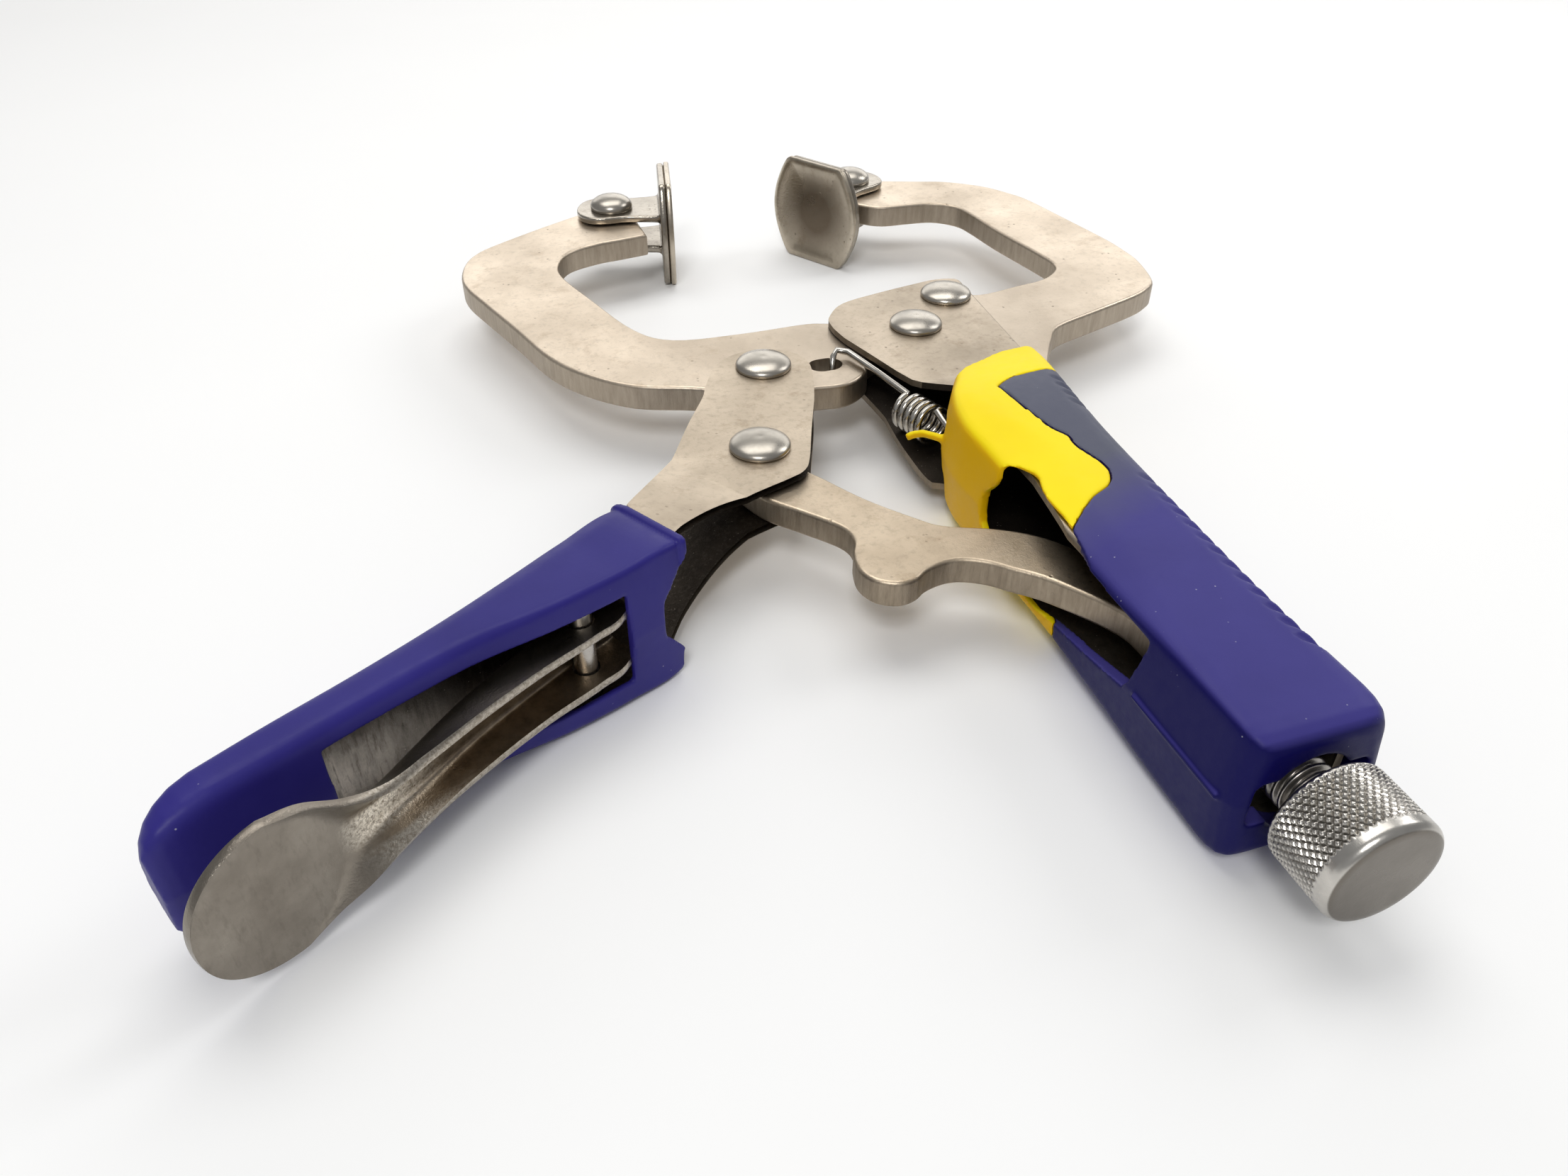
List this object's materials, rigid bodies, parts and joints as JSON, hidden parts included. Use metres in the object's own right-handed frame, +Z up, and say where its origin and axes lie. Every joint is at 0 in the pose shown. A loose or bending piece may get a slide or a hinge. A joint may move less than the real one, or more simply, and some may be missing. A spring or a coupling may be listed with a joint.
{
  "type": "locking C-clamp pliers",
  "caption": "Locking C-clamp pliers with riveted plate jaws, swivel pads, toggle link, release lever, tension spring and a knurled adjusting screw.",
  "frame": {"origin": "centre of the object's bounding box in X and Y, at its lowest point in Z", "axes": "+Y along the fixed handle towards the jaws, -X towards the lever handle and moving jaw, +Z up with the tool lying flat"},
  "size_m": [0.2368, 0.277, 0.0298],
  "materials": {
    "nickel_plate": "satin nickel plate over stamped steel, fine grain and pits",
    "rivet_steel": "bright domed nickel-plated rivet heads",
    "pad_nickel": "bright satin nickel plate on pressed sheet",
    "turned_steel": "turned and knurled steel, bright plate",
    "spring_wire": "drawn spring wire, bright",
    "grip_blue": "satin dark blue moulded sleeve",
    "grip_yellow": "satin bright yellow moulding"
  },
  "bodies": {
    "fixed_side": {"fixed_handle": "nickel_plate", "fixed_jaw": "nickel_plate", "fixed_jaw_rivet": "rivet_steel", "main_pivot_rivet": "rivet_steel", "fixed_pad_rivet": "rivet_steel", "fixed_grip": "grip_blue", "fixed_grip_front": "grip_yellow", "screw_nut": "turned_steel", "spring_anchor_pin": "turned_steel"},
    "fixed_pad": {"fixed_pad_bracket": "pad_nickel", "fixed_pad_face": "pad_nickel"},
    "jaw_side": {"moving_jaw": "nickel_plate", "moving_pad_rivet": "rivet_steel", "lever_rivet": "rivet_steel", "tension_spring": "spring_wire"},
    "moving_pad": {"moving_pad_bracket": "pad_nickel", "moving_pad_face": "pad_nickel"},
    "lever_side": {"lever_handle": "nickel_plate", "lever_grip": "grip_blue", "link_rivet": "rivet_steel", "release_pin": "turned_steel"},
    "link": {"toggle_link": "nickel_plate"},
    "release": {"release_lever": "nickel_plate"},
    "screw": {"adjusting_screw": "turned_steel"},
    "knob": {"knurled_knob": "turned_steel"}
  },
  "joints": [
    {"name": "jaw_pivot", "type": "hinge", "parent": "fixed_side", "child": "jaw_side", "pos_m": [0.04358, 0.02824, 0.0149], "axis": [0, 0, 1], "range_deg": [-13.8, 0], "deforming": ["tension_spring"]},
    {"name": "lever_pivot", "type": "hinge", "parent": "jaw_side", "child": "lever_side", "pos_m": [0.00268, 0.01974, 0.0149], "axis": [0, 0, 1], "range_deg": [0, 50.3]},
    {"name": "link_pivot", "type": "hinge", "parent": "lever_side", "child": "link", "pos_m": [-0.00862, -0.01306, 0.0149], "axis": [0, 0, 1], "range_deg": [-51.5, 0]},
    {"name": "release_pivot", "type": "hinge", "parent": "lever_side", "child": "release", "pos_m": [-0.05352, -0.05686, 0.0149], "axis": [0, 0, 1], "range_deg": [-4, 5]},
    {"name": "fixed_pad_swivel", "type": "hinge", "parent": "fixed_side", "child": "fixed_pad", "pos_m": [0.06438, 0.12564, 0.0149], "axis": [0, 0, 1], "range_deg": [-18, 18]},
    {"name": "moving_pad_swivel", "type": "hinge", "parent": "jaw_side", "child": "moving_pad", "pos_m": [-0.00902, 0.12644, 0.0149], "axis": [0, 0, 1], "range_deg": [-14, 18]},
    {"name": "screw_travel", "type": "slide", "parent": "fixed_side", "child": "screw", "axis": [0, 1, 0], "range_m": [-0.012, 0]},
    {"name": "knob_turn", "type": "hinge", "parent": "screw", "child": "knob", "pos_m": [0.03978, -0.12526, 0.0149], "axis": [0, 1, 0], "range_deg": [-2890, 5]}
  ],
  "couplings": [
    {"joint": "jaw_pivot", "follows": "lever_pivot", "ratio": -0.2724},
    {"joint": "link_pivot", "follows": "lever_pivot", "ratio": -1.02},
    {"joint": "knob_turn", "follows": "screw_travel", "rad_per_m": 4188.8}
  ]
}
